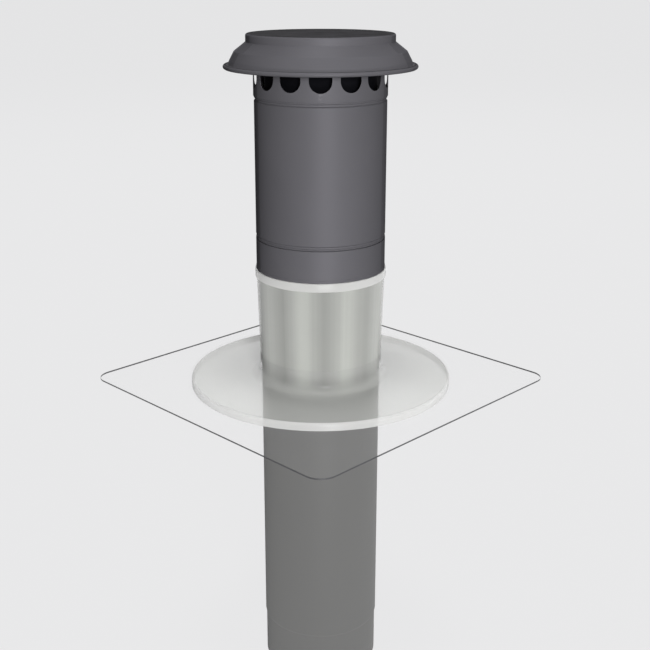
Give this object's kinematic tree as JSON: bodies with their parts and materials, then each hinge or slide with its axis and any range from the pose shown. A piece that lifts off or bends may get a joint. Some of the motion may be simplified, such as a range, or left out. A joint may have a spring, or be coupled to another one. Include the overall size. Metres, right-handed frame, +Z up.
{
  "type": "roof flashing with flue terminal",
  "caption": "Flat roof flashing: a see-through flange, collar and roof sheet round a concentric flue terminal with a vent ring and rain hood.",
  "frame": {"origin": "middle of the lower end of the outer pipe, on the face that the part stands on", "axes": "+Z up along the pipe, X and Y parallel to the sides of the square roof sheet"},
  "size_m": [0.345, 0.345, 0.6923],
  "materials": {
    "dark_paint": "satin anthracite paint on sheet metal",
    "pipe_paint": "satin mid grey coated steel",
    "flue_plastic": "black flue pipe plastic",
    "clear_grey_plastic": "see-through light grey moulded plastic",
    "clear_film": "nearly clear flexible roof sheet",
    "packing_rubber": "black packing rubber",
    "stay_steel": "painted steel strip",
    "spacer_steel": "spring steel strip"
  },
  "bodies": {
    "root": {"hood": "dark_paint", "lid": "dark_paint", "rain_baffle": "dark_paint", "vent_ring": "dark_paint", "casing_tube": "dark_paint", "casing_skirt": "dark_paint", "outer_pipe": "pipe_paint", "flue_pipe": "flue_plastic", "flashing": "clear_grey_plastic", "roof_sheet": "clear_film", "lower_packing": "packing_rubber", "upper_packing": "packing_rubber", "hood_stay_1": "stay_steel", "hood_stay_2": "stay_steel", "hood_stay_3": "stay_steel", "hood_stay_4": "stay_steel", "stay_rivets": "stay_steel", "flue_spacer_1": "spacer_steel", "flue_spacer_2": "spacer_steel", "flue_spacer_3": "spacer_steel"}
  },
  "joints": []
}
